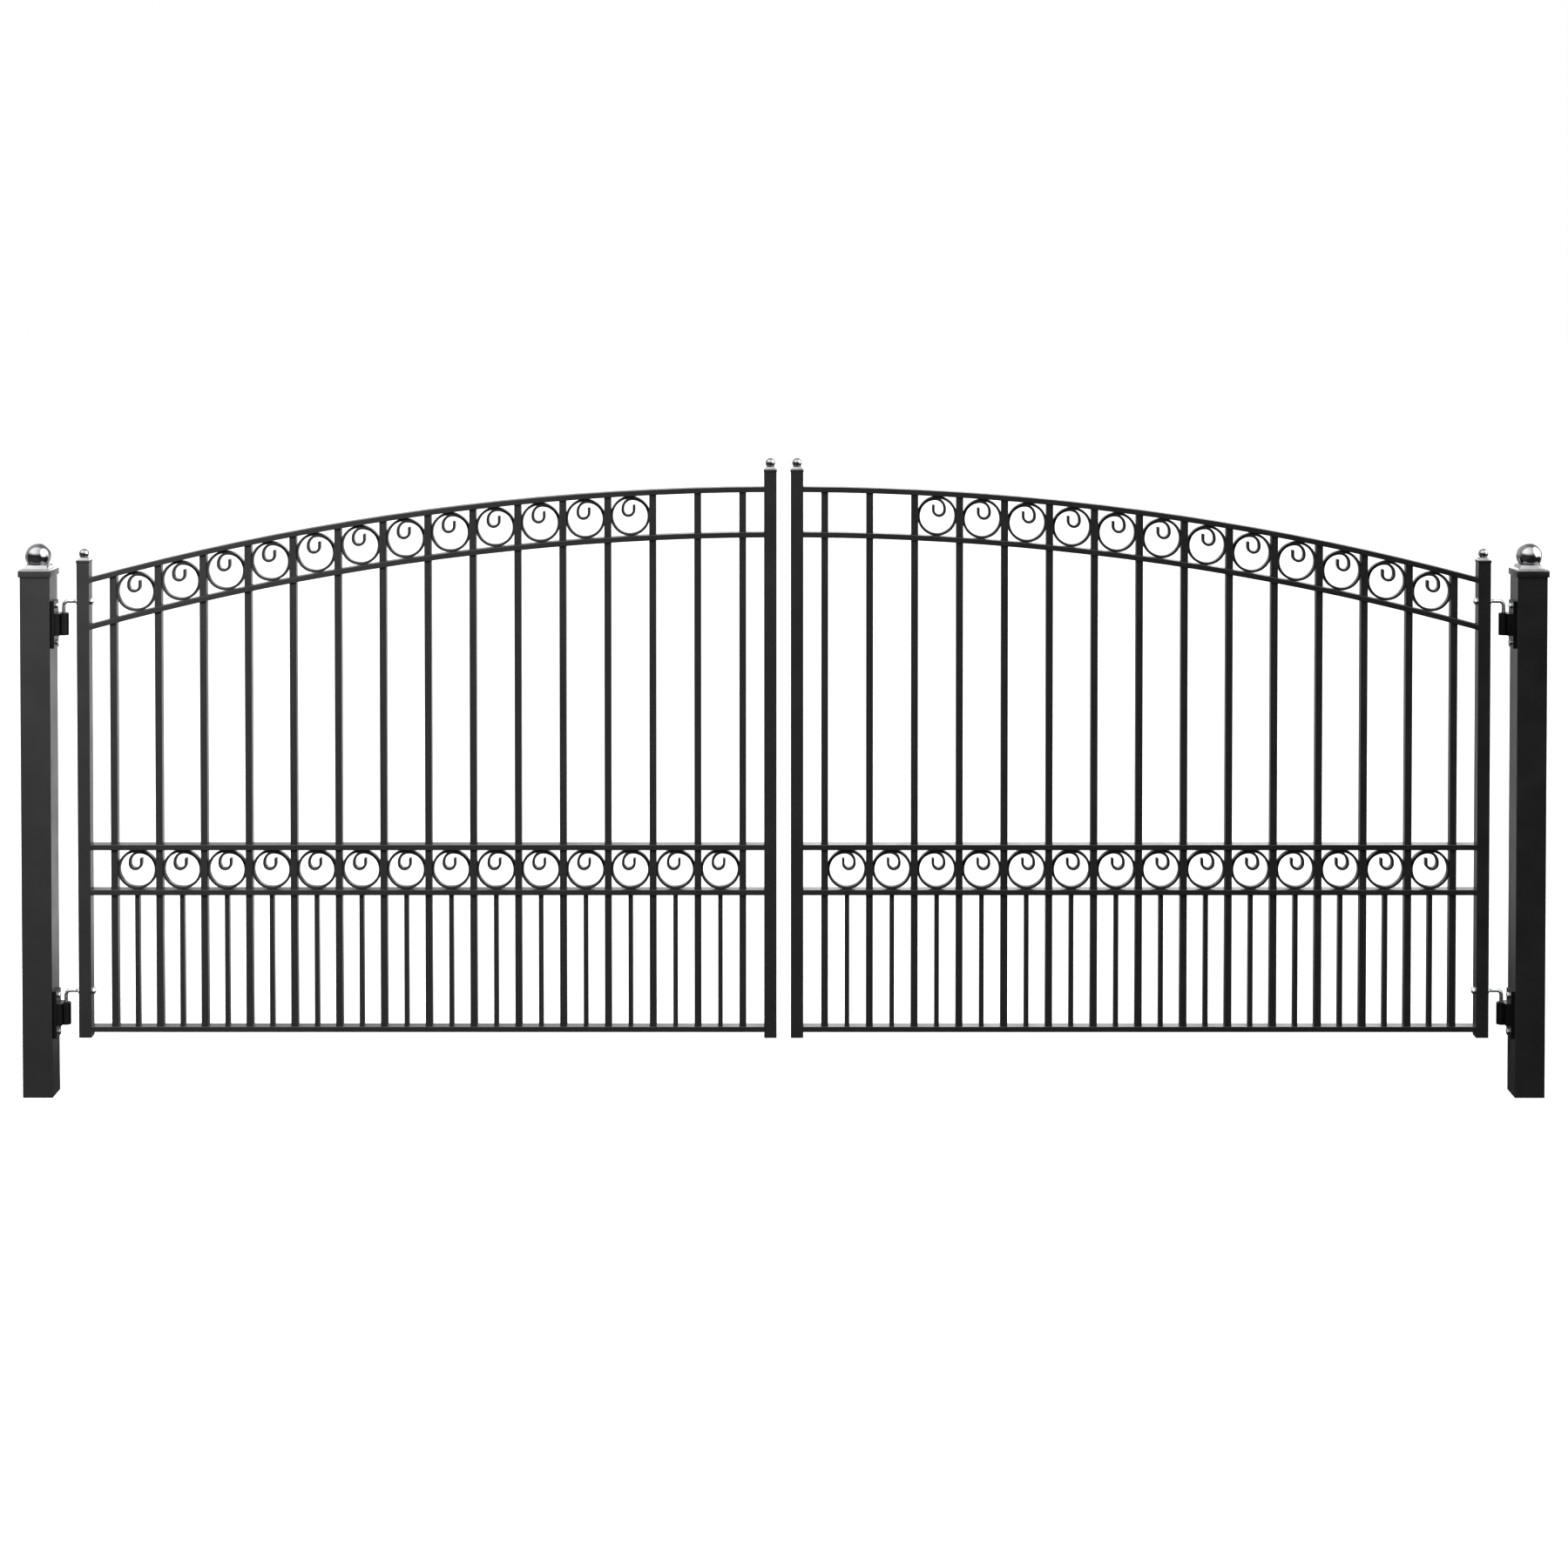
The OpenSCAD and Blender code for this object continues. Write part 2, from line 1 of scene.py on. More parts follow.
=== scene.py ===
# %% [markdown]
# # An arched double driveway gate
# Two steel leaves hang on two square posts. Each leaf is a welded frame of rectangular
# tube, with tall and short pickets and two bands of bent scrolls, and the whole of it is
# powder coated black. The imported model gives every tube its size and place. This file
# adds the light, the finishes, and the pieces that need rounder shapes than the model has.

# %% Load the frame
import json
import math

import bpy
from mathutils import Matrix, Vector


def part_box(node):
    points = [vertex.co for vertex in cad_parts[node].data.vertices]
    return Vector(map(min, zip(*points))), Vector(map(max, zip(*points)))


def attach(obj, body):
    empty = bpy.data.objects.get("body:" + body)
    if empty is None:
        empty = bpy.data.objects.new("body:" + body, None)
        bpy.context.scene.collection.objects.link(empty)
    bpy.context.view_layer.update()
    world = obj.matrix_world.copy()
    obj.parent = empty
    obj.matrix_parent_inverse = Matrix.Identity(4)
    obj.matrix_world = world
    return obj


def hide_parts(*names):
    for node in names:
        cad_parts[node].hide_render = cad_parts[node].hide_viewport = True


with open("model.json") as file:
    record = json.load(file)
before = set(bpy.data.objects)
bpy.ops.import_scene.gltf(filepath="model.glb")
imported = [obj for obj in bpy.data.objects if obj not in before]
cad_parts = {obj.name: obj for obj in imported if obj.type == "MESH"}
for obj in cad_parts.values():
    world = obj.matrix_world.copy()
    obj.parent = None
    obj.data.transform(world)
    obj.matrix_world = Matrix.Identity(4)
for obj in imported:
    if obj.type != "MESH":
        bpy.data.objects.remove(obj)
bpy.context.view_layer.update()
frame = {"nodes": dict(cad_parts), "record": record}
nodes = frame["nodes"]

MM = 0.001
SIDES = ("left", "right")
STILES = ("hinge", "meeting")
LEVELS = ("upper", "lower")

# %% [markdown]
# ## The camera
# The gate is seen square on, from a little above its top, with its uprights upright. A
# long lens from nine metres away gives that, with the lens shifted down the way an
# architect's camera is, so that the uprights stay parallel. A small tilt shares the work,
# so that the shift is no larger than it has to be.

# %% Camera
CAMERA_AT = (0.001, -9.069, 2.869)
CAMERA_LENS_MM = 62.48
CAMERA_SENSOR_MM = 36
CAMERA_TILT_DEG = 1.29
CAMERA_SHIFT = -0.309
CAMERA_REACH = 200  # metres

camera_data = bpy.data.cameras.new("camera")
camera_data.lens = CAMERA_LENS_MM
camera_data.sensor_width = CAMERA_SENSOR_MM
camera_data.shift_y = CAMERA_SHIFT
camera_data.clip_end = CAMERA_REACH
camera = bpy.data.objects.new("camera", camera_data)
camera.location = CAMERA_AT
camera.rotation_euler = (math.radians(90 - CAMERA_TILT_DEG), 0, 0)
bpy.context.scene.collection.objects.link(camera)
bpy.context.scene.camera = camera
print("camera: lens", CAMERA_LENS_MM, "mm, tilt", CAMERA_TILT_DEG, "degrees")

# %% [markdown]
# ## Small helpers
# Colours are written as sRGB hex, as a paint chart gives them, and turned to linear here.
# One function adds a node with its settings and its links, so that each finish below
# reads as a short list.


# %% Helpers for materials
def linear(hex_colour):
    """Turns an sRGB hex colour such as "1a1a1b" into linear RGBA."""
    out = []
    for i in (0, 2, 4):
        c = int(hex_colour[i : i + 2], 16) / 255
        out.append(c / 12.92 if c <= 0.04045 else ((c + 0.055) / 1.055) ** 2.4)
    return (*out, 1.0)


def add(tree, kind, inputs=None, **settings):
    """Adds a node. inputs gives each socket a value, or another node's output."""
    node = tree.nodes.new(kind)
    for name, value in settings.items():
        setattr(node, name, value)
    for socket, value in (inputs or {}).items():
        if isinstance(value, bpy.types.NodeSocket):
            tree.links.new(value, node.inputs[socket])
        else:
            node.inputs[socket].default_value = value
    return node


def new_material(name):
    """An empty node material, with its tree and its output."""
    material = bpy.data.materials.new(name)
    material.use_nodes = True
    material.node_tree.nodes.clear()
    return material, material.node_tree, material.node_tree.nodes.new("ShaderNodeOutputMaterial")


WHITE = (1, 1, 1, 1)
print("white paint f4f4f4 is", [round(c, 3) for c in linear("f4f4f4")], "in linear light")

# %% [markdown]
# ## The studio
# A black, smooth coating shows little colour of its own. What the eye reads is what it
# reflects, so the room is painted by direction, as a studio is hung with white cloths.
# The fronts of the tubes look into a dim room. Sloped faces look up at a broad white
# ceiling in front of the gate. Polished caps also catch a large round window high on the
# right. The sides and the upper faces look at the sweep behind, and the insides of the
# scrolls at a white cloth hung in it. To the camera the sweep and floor are plain white.


# %% A light with soft edges
def soften(tree, light, *edges):
    """Fades a light between two places along an input, from one level to another, for each edge."""
    for along, start, end, at_start, at_end in edges:
        fade = add(
            tree, "ShaderNodeMapRange",
            {
                "Value": along,
                "From Min": start, "From Max": end,
                "To Min": at_start, "To Max": at_end,
            },
            interpolation_type="SMOOTHSTEP",
        )
        faded = add(tree, "ShaderNodeMath", {0: light, 1: fade.outputs[0]}, operation="MULTIPLY")
        light = faded.outputs[0]
    return light


world = bpy.data.worlds.new("studio")
bpy.context.scene.world = world
world.use_nodes = True
tree = world.node_tree
tree.nodes.clear()
direction = add(tree, "ShaderNodeTexCoord").outputs["Generated"]
axes = add(tree, "ShaderNodeSeparateXYZ", {"Vector": direction})
right, behind, above = (axes.outputs[axis] for axis in "XYZ")
print("world:", world.name)

# %% The sweep behind, with a white cloth
low_sweep = soften(tree, 1.0, (above, -0.05, 0.03, 1.0, 0.0), (right, -0.30, 0.30, 0.40, 1.25))
high_sweep = soften(tree, 1.0, (above, -0.05, 0.03, 0.0, 1.0), (right, -0.30, 0.10, 1.2, 0.55))
cloth = soften(
    tree, 1.0,
    (right, -0.12, 0.02, 0.0, 1.0), (right, 0.20, 0.34, 1.0, 0.0),
    (above, 0.06, 0.16, 0.0, 3.0), (above, 0.35, 0.50, 1.0, 0.0),
)
sweep = low_sweep
for white in (high_sweep, cloth):
    sweep = add(tree, "ShaderNodeMath", {0: sweep, 1: white}, operation="ADD").outputs[0]
sweep = soften(tree, sweep, (behind, -0.25, 0.5, 0.0, 1.0))
print("sweep: brighter low on the right and high on the left")

# %% The ceiling in front, and the window
WINDOW_LEVEL = 5.5
WINDOW_TOWARDS = Vector((0.885, -0.174, 0.412)).normalized()
WINDOW_EDGE = (0.74, 0.80)  # cosines of the angles where it starts and is full

ceiling = soften(
    tree, 1.0,
    (behind, -0.20, 0.30, 1.0, 0.0), (above, 0.15, 0.60, 0.0, 1.0), (right, -0.60, 0.60, 4.2, 1.8),
)
towards = add(
    tree, "ShaderNodeVectorMath", {0: direction, 1: WINDOW_TOWARDS}, operation="DOT_PRODUCT"
)
window = soften(tree, 1.0, (towards.outputs["Value"], *WINDOW_EDGE, 0.0, WINDOW_LEVEL))
print("window:", round(2 * math.degrees(math.acos(WINDOW_EDGE[0]))), "degrees across")

# %% The whole room
ROOM_LEVEL = 0.06

brightest = sweep
for light in (ceiling, window):
    brightest = add(
        tree, "ShaderNodeMath", {0: brightest, 1: light}, operation="MAXIMUM"
    ).outputs[0]
strength = add(tree, "ShaderNodeMath", {0: brightest, 1: ROOM_LEVEL}, operation="ADD")
room = add(tree, "ShaderNodeBackground", {"Color": WHITE, "Strength": strength.outputs[0]})
seen = add(tree, "ShaderNodeBackground", {"Color": WHITE, "Strength": 1.0})
to_eye = add(tree, "ShaderNodeLightPath").outputs["Is Camera Ray"]
both = add(tree, "ShaderNodeMixShader", {0: to_eye, 1: room.outputs[0], 2: seen.outputs[0]})
add(tree, "ShaderNodeOutputWorld", {"Surface": both.outputs[0]})
bpy.context.scene.view_settings.view_transform = "Standard"
print("room: sweep behind, ceiling in front, window on the right, dim elsewhere")

# %% [markdown]
# ## One lamp
# The fronts on the left are brighter than those on the right, and brighter at the top than
# at the foot, because a lamp hangs near the top of the left post. It lights the coating
# but leaves no image of itself in the polished caps.

# %% Lamp
LAMP_AT = Vector((-3.4, -2.4, 3.6))
LAMP_AIMED_AT = Vector((-2.0, 0, 1))
LAMP_SIZE = 1.5
LAMP_WATTS = 1750

lamp_data = bpy.data.lights.new("high_front_left", "AREA")
lamp_data.size = LAMP_SIZE
lamp_data.energy = LAMP_WATTS
lamp = bpy.data.objects.new("high_front_left", lamp_data)
lamp.location = LAMP_AT
lamp.rotation_euler = (LAMP_AIMED_AT - LAMP_AT).to_track_quat("-Z", "Y").to_euler()
lamp.visible_camera = False
lamp.visible_glossy = False
bpy.context.scene.collection.objects.link(lamp)
print("lamp:", LAMP_SIZE, "m wide,", LAMP_WATTS, "W")

# %% [markdown]
# ## The floor
# A plain white studio floor that glows to the camera, so that it meets the white sweep
# with no edge. What the gate reflects of it is graded: dim in front, where the room is
# dim, and bright behind, more so on the left. Far behind the gate a reflection passes
# through it to the sweep.

# %% Floor
FLOOR_SIZE = 120
FLOOR_GLOW = 1.2
GLOW_SHARE = 0.75

bpy.ops.mesh.primitive_plane_add(size=FLOOR_SIZE, location=(0, 0, 0))
floor = bpy.context.object
floor.name = "studio_floor"
floor_white, tree, output = new_material("lit_white_floor")
place = add(tree, "ShaderNodeTexCoord").outputs["Object"]
axes = add(tree, "ShaderNodeSeparateXYZ", {"Vector": place})
to_right, to_back = axes.outputs["X"], axes.outputs["Y"]
far_side = soften(tree, 1.0, (to_back, 0.2, 3.0, 0.0, 1.0), (to_right, -3.0, 3.0, 1.65, 0.20))
near_side = soften(tree, 1.0, (to_right, -3.0, 3.0, 0.12, 0.04))
strength = add(tree, "ShaderNodeMath", {0: far_side, 1: near_side}, operation="ADD")
graded = add(tree, "ShaderNodeEmission", {"Color": WHITE, "Strength": strength.outputs[0]})
beyond = add(tree, "ShaderNodeBsdfTransparent")
ends = soften(tree, 1.0, (to_back, 2.0, 4.0, 0.0, 1.0))
reflected = add(tree, "ShaderNodeMixShader", {0: ends, 1: graded.outputs[0], 2: beyond.outputs[0]})
matt = add(tree, "ShaderNodeBsdfDiffuse", {"Color": linear("f4f4f4")})
glow = add(tree, "ShaderNodeEmission", {"Color": WHITE, "Strength": FLOOR_GLOW})
seen = add(tree, "ShaderNodeMixShader", {0: GLOW_SHARE, 1: matt.outputs[0], 2: glow.outputs[0]})
to_eye = add(tree, "ShaderNodeLightPath").outputs["Is Camera Ray"]
both = add(tree, "ShaderNodeMixShader", {0: to_eye, 1: reflected.outputs[0], 2: seen.outputs[0]})
tree.links.new(both.outputs[0], output.inputs["Surface"])
floor.data.materials.append(floor_white)
print("floor:", FLOOR_SIZE, "m square")

# %% [markdown]
# ## Black polyester powder coat
# Powder coat is a polyester resin that melts and flows over the steel in an oven. It
# leaves a hard satin skin with a faint orange peel, a few millimetres from crest to
# crest, and slightly uneven gloss. The resin's IOR is about 1.5. A low bump gives the
# orange peel, and slow noise gives the uneven gloss. The enamel on the hinges is sprayed
# and baked in the same way, and is deeper and a little glossier.

# %% Sprayed and baked coatings
COATING_IOR = 1.5
PEEL_CREST = 3.0 * MM  # from crest to crest
PEEL_DEPTH = 0.05 * MM
CLOUDS_A_METRE = 9.0  # the gloss changes about every 110 mm
CLOUD_LOW, CLOUD_HIGH = 0.3, 0.7  # the noise seldom goes past these
CLOUD_LIGHTENS = 1.35


def coating(name, hex_colour, rough_low, rough_high, specular):
    """A sprayed and baked finish: one colour, with cloudy gloss and orange peel."""
    material, tree, output = new_material(name)
    place = add(tree, "ShaderNodeTexCoord").outputs["Object"]
    peel = add(
        tree, "ShaderNodeTexNoise",
        {"Vector": place, "Scale": 1 / PEEL_CREST, "Detail": 2.0, "Roughness": 0.45},
    )
    bump = add(
        tree, "ShaderNodeBump",
        {"Height": peel.outputs[0], "Strength": 0.35, "Distance": PEEL_DEPTH},
    )
    cloud = add(
        tree, "ShaderNodeTexNoise", {"Vector": place, "Scale": CLOUDS_A_METRE, "Detail": 3.0}
    )
    rough = add(
        tree, "ShaderNodeMapRange",
        {
            "Value": cloud.outputs[0],
            "From Min": CLOUD_LOW, "From Max": CLOUD_HIGH,
            "To Min": rough_low, "To Max": rough_high,
        },
    )
    colour = linear(hex_colour)
    lighter = tuple(CLOUD_LIGHTENS * c for c in colour)
    shade = add(tree, "ShaderNodeMixRGB", {0: cloud.outputs[0], 1: colour, 2: lighter})
    skin = add(
        tree, "ShaderNodeBsdfPrincipled",
        {
            "Base Color": shade.outputs[0],
            "Roughness": rough.outputs[0],
            "IOR": COATING_IOR,
            "Specular IOR Level": specular,
            "Normal": bump.outputs[0],
        },
    )
    tree.links.new(skin.outputs[0], output.inputs["Surface"])
    print("coating:", name, "#" + hex_colour)
    return material


powder_coat = coating("satin_black_polyester_powder_coat", "0a0a0a", 0.28, 0.36, 0.34)
hinge_paint = coating("deep_black_hinge_enamel", "030303", 0.26, 0.34, 0.2)

# %% [markdown]
# ## Bright zinc plate
# The hinge bolts and nuts are plated steel: a pale, slightly blue metal. Zinc dulls in
# blotches a few millimetres across, so its colour and its roughness are mottled.

# %% Zinc
BLOTCHES_A_METRE = 220.0  # one about every 4.5 mm

zinc_plate, tree, output = new_material("bright_zinc_plated_steel")
place = add(tree, "ShaderNodeTexCoord").outputs["Object"]
blotch = add(
    tree, "ShaderNodeTexNoise", {"Vector": place, "Scale": BLOTCHES_A_METRE, "Detail": 4.0}
)
dull = add(
    tree, "ShaderNodeMapRange",
    {
        "Value": blotch.outputs[0],
        "From Min": CLOUD_LOW, "From Max": CLOUD_HIGH,
        "To Min": 0.22, "To Max": 0.42,
    },
)
tone = add(
    tree, "ShaderNodeMixRGB", {0: blotch.outputs[0], 1: linear("bcbfc3"), 2: linear("dfe1e3")}
)
metal = add(
    tree, "ShaderNodeBsdfPrincipled",
    {"Base Color": tone.outputs[0], "Metallic": 1.0, "Roughness": dull.outputs[0]},
)
tree.links.new(metal.outputs[0], output.inputs["Surface"])
print("metal:", zinc_plate.name)

# %% [markdown]
# ## Black nickel
# The caps and balls are cast, polished and finished in a hard, dark, mirror-like black,
# much as black nickel is. It reflects about a fifth of the light, so the window, the
# ceiling and the white sweep show in it as soft bright shapes on a dark ground.

# %% Black nickel
HAZES_A_METRE = 60.0  # the polish changes about every 17 mm

black_nickel, tree, output = new_material("polished_black_nickel")
place = add(tree, "ShaderNodeTexCoord").outputs["Object"]
haze = add(tree, "ShaderNodeTexNoise", {"Vector": place, "Scale": HAZES_A_METRE, "Detail": 3.0})
dull = add(
    tree, "ShaderNodeMapRange",
    {
        "Value": haze.outputs[0],
        "From Min": CLOUD_LOW, "From Max": CLOUD_HIGH,
        "To Min": 0.12, "To Max": 0.17,
    },
    interpolation_type="SMOOTHSTEP",
)
tone = add(
    tree, "ShaderNodeMixRGB", {0: haze.outputs[0], 1: linear("78787a"), 2: linear("88888a")}
)
metal = add(
    tree, "ShaderNodeBsdfPrincipled",
    {"Base Color": tone.outputs[0], "Metallic": 1.0, "Roughness": dull.outputs[0]},
)
tree.links.new(metal.outputs[0], output.inputs["Surface"])
print("metal:", black_nickel.name)

# %% [markdown]
# ## Finishes on the model's own tubes
# The tubes, plates and barrels keep the model's shapes and only gain a finish. The thin
# bronze flange on each barrel is sprayed over with the hinge, so it is black too.

# %% Finishes on the model's own nodes
FINISH_OF_SLOT = {
    "powder_black": powder_coat,
    "hinge_black": hinge_paint,
    "gloss_black": black_nickel,
    "zinc": zinc_plate,
    "bronze": hinge_paint,
}
slot_of_node = {s["node"]: s["material_slot"] for s in frame["record"]["subparts"]}
for name, node in nodes.items():
    node.data.materials.clear()
    node.data.materials.append(FINISH_OF_SLOT[slot_of_node[name]])
print("finished", len(nodes), "nodes")

# %% [markdown]
# ## Working by hand, in code
# The pieces below are modelled with Blender's own operators, the way they would be by
# hand. Each starts as a primitive, is shaped in edit mode, and ends with its place in its
# mesh and its object at the origin, as the model's own nodes are.

# %% Helpers for choosing and raising faces
NEARLY_UP = 0.9  # how far the normal of a level face rises, at the least


def start_clean():
    """Nothing is selected, so that an operator acts only on what comes next."""
    if bpy.context.object and bpy.context.object.mode != "OBJECT":
        bpy.ops.object.mode_set(mode="OBJECT")
    bpy.ops.object.select_all(action="DESELECT")


def choose_level_faces(piece, way):
    """Selects, in edit mode, the faces of the piece that look up (1) or down (-1)."""
    bpy.ops.object.mode_set(mode="OBJECT")
    for part in (piece.data.vertices, piece.data.edges, piece.data.polygons):
        part.foreach_set("select", [False] * len(part))
    for face in piece.data.polygons:
        if face.normal.z * way > NEARLY_UP:
            face.select = True
            for v in face.vertices:
                piece.data.vertices[v].select = True
    bpy.ops.object.mode_set(mode="EDIT")
    bpy.ops.mesh.select_mode(type="FACE")


def draw_out(x=0.0, z=0.0):
    """Extrudes what is chosen, along the gate or upwards."""
    bpy.ops.mesh.extrude_region_move(TRANSFORM_OT_translate={"value": (x, 0, z)})


def raise_face(up, scale=1.0):
    """Extrudes the chosen face upwards, then widens or narrows it about its middle."""
    draw_out(z=up)
    if scale != 1.0:
        bpy.ops.transform.resize(value=(scale, scale, 1))


print("a face is level within", round(math.degrees(math.acos(NEARLY_UP))), "degrees")


# %% Helpers for finishing a piece
def settle(piece, name, smooth_deg=35):
    """Leaves edit mode and puts the piece's place into its mesh."""
    bpy.ops.object.mode_set(mode="OBJECT")
    piece.name = name
    bpy.ops.object.select_all(action="DESELECT")
    piece.select_set(True)
    bpy.context.view_layer.objects.active = piece
    bpy.ops.object.transform_apply(location=True, rotation=True, scale=True)
    bpy.ops.object.shade_smooth_by_angle(angle=math.radians(smooth_deg))
    return piece


def use_modifier(piece, kind, **settings):
    """Adds a modifier and applies it."""
    modifier = piece.modifiers.new(kind.lower(), kind)
    for name, value in settings.items():
        setattr(modifier, name, value)
    bpy.context.view_layer.objects.active = piece
    bpy.ops.object.modifier_apply(modifier=modifier.name)


def join_pieces(pieces):
    """Joins the pieces in one mesh, that of the first of them."""
    start_clean()
    for piece in pieces:
        piece.select_set(True)
    bpy.context.view_layer.objects.active = pieces[0]
    if len(pieces) > 1:
        bpy.ops.object.join()
    return pieces[0]


def mirror_to_right(piece, name):
    """The mirror image of a left piece, with its own mesh turned the right way out."""
    start_clean()
    twin = bpy.data.objects.new(name, piece.data.copy())
    bpy.context.scene.collection.objects.link(twin)
    twin.data.transform(Matrix.Scale(-1, 4, (1, 0, 0)))
    twin.data.flip_normals()
    return twin


def stand_for(piece, finish, slot, body, *replaced):
    """Gives the piece its finish and body, and hides the nodes that it stands for."""
    if finish:
        piece.data.materials.clear()
        piece.data.materials.append(finish)
    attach(piece, body)
    if replaced:
        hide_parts(*replaced)


print("helpers ready")

# %% [markdown]
# ## The caps
# A cast cap slips over each post and stile: a skirt with a bevelled top, and a pedestal
# whose sides slope in to carry the ball. It grows from one box. Its top face is raised and
# narrowed up the slope and round the pedestal's lip, and its underside is inset and
# pushed up to make room for the tube. The skirt is powder coated with the
# tube, and the shoulder and pedestal are polished like the ball.

# %% Caps
LIP_STEPS = 5
POST_CAP = {
    "skirt": 25.4 * MM, "bevel": 4 * MM, "pedestal": 85.6 * MM, "seat": 67.6 * MM,
    "height": 14 * MM, "lip": 2.4 * MM, "wall": 4.2 * MM, "recess": 22.4 * MM, "edge": 0.9 * MM,
}
STILE_CAP = {
    "skirt": 9.5 * MM, "bevel": 1.6 * MM, "pedestal": 37 * MM, "seat": 27.8 * MM,
    "height": 7 * MM, "lip": 1.2 * MM, "wall": 1.1 * MM, "recess": 7.5 * MM, "edge": 0.5 * MM,
}


def make_cap(name, node, skirt, bevel, pedestal, seat, height, lip, wall, recess, edge):
    """A cap in the box of its node. The pedestal narrows from its foot to the ball's seat."""
    lo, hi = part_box(node)
    wide, deep = hi[0] - lo[0], hi[1] - lo[1]
    straight = skirt - bevel
    middle = ((lo[0] + hi[0]) / 2, (lo[1] + hi[1]) / 2, lo[2] + straight / 2)
    start_clean()
    bpy.ops.mesh.primitive_cube_add(size=1, location=middle)
    cap = bpy.context.object
    cap.scale = (wide, deep, straight)
    bpy.ops.object.transform_apply(location=False, rotation=False, scale=True)

    choose_level_faces(cap, 1)
    top_wide, top_deep = wide - 2 * bevel, deep - 2 * bevel
    raise_face(bevel, top_wide / wide)
    draw_out()
    bpy.ops.transform.resize(value=(pedestal / top_wide, pedestal / top_deep, 1))
    width, risen = seat + 2 * lip, 0.0
    raise_face(height - lip, width / pedestal)
    for k in range(1, LIP_STEPS + 1):
        turn = math.radians(90 * k / LIP_STEPS)
        next_width, next_rise = seat + 2 * lip * math.cos(turn), lip * math.sin(turn)
        raise_face(next_rise - risen, next_width / width)
        width, risen = next_width, next_rise

    choose_level_faces(cap, -1)
    bpy.ops.mesh.inset(thickness=wall)
    raise_face(recess)
    bpy.ops.object.mode_set(mode="OBJECT")
    use_modifier(
        cap, "BEVEL", width=edge, segments=3, limit_method="ANGLE", angle_limit=math.radians(40)
    )
    settle(cap, name)
    cap.data.materials.append(powder_coat)
    cap.data.materials.append(black_nickel)
    polished = [face for face in cap.data.polygons if face.center.z > lo[2] + straight]
    for face in polished:
        face.material_index = 1
    print(name, "-", len(polished), "of", len(cap.data.polygons), "faces polished")
    return cap


for side in SIDES:
    node = side + "_post_cap"
    cap = make_cap(node + "_cast", node, **POST_CAP)
    stand_for(cap, None, "gloss_black", "posts", node)
    for stile in STILES:
        node = f"{side}_{stile}_stile_cap"
        cap = make_cap(node + "_cast", node, **STILE_CAP)
        stand_for(cap, None, "gloss_black", side + "_leaf", node)

# %% [markdown]
# ## The balls
# Each ball is cast with a short neck where it sits on its pedestal. A fine sphere is cut
# flat at its seat, and the cut edge is drawn out and down into the neck.

# %% Balls
POST_BALL = {"diameter": 85.6 * MM, "neck": 1.6 * MM}
STILE_BALL = {"diameter": 33.4 * MM, "neck": 0.8 * MM}
NECK_STEPS = ((0.4, 0.45), (1.0, 0.55))  # out and down, as shares of the neck


def make_ball(name, node, diameter, neck):
    """A ball in the box of its node, cut flat at the node's lowest point."""
    lo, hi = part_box(node)
    radius = diameter / 2
    centre = ((lo[0] + hi[0]) / 2, (lo[1] + hi[1]) / 2, hi[2] - radius)
    start_clean()
    bpy.ops.mesh.primitive_uv_sphere_add(
        segments=72, ring_count=48, radius=radius, location=centre
    )
    ball = bpy.context.object
    bpy.ops.object.mode_set(mode="EDIT")
    bpy.ops.mesh.select_all(action="SELECT")
    seat = lo[2] + neck
    bpy.ops.mesh.bisect(
        plane_co=(centre[0], centre[1], seat), plane_no=(0, 0, 1), use_fill=True, clear_inner=True
    )
    cut = math.sqrt(radius**2 - (seat - centre[2]) ** 2)
    for out, down in NECK_STEPS:
        raise_face(-down * neck, (cut + out * neck) / cut)
        cut += out * neck
    return settle(ball, name, smooth_deg=60)


for side in SIDES:
    node = side + "_post_ball"
    ball = make_ball(node + "_cast", node, **POST_BALL)
    stand_for(ball, black_nickel, "gloss_black", "posts", node)
    for stile in STILES:
        node = f"{side}_{stile}_stile_ball"
        ball = make_ball(node + "_cast", node, **STILE_BALL)
        stand_for(ball, black_nickel, "gloss_black", side + "_leaf", node)
print("balls: 6")

# %% [markdown]
# ## The bays
# The bays sit evenly between the pickets. In the straight band all rings stand at one
# height. In the arched band each stands midway between the two curved rails.

# %% Where the bays are
PICKET = 23 * MM
ARCH_TOP = 2024 * MM  # underside of the upper arch rail at the meeting edge
ARCH_RISE = 304 * MM
BAND = 133 * MM
MEETING_EDGE = -23.5 * MM
BAYS = 14
ARCH_BAYS = 12

band_lo, band_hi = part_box("left_band_scrolls")
band_z = (band_lo[2] + band_hi[2]) / 2
pitch = (band_hi[0] - band_lo[0] + PICKET) / BAYS
half_bay = (pitch - PICKET) / 2
reach = MEETING_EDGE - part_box("left_hinge_stile")[1][0]
arch_radius = (reach**2 + ARCH_RISE**2) / (2 * ARCH_RISE)
bay_x = [band_lo[0] - PICKET / 2 + pitch * (i + 0.5) for i in range(BAYS)]


def arch_height(x):
    """Height of the arched band's middle at a place along the gate."""
    from_edge = x - MEETING_EDGE
    return ARCH_TOP - arch_radius + math.sqrt((arch_radius - BAND / 2) ** 2 - from_edge**2)


print("bays:", BAYS, "a leaf, pitch", round(pitch / MM, 1), "mm")

# %% [markdown]
# ## The scrolls
# Each scroll is one flat bar, bent cold round a former: a full ring that runs on inside
# into a hooked curl. The bar's own section, with its rolled corners, is drawn first. It
# is then spun round each bend in turn and extruded along each straight, just as the bar
# is bent. One scroll is made, trimmed where the pickets touch it, and copied to every bay.

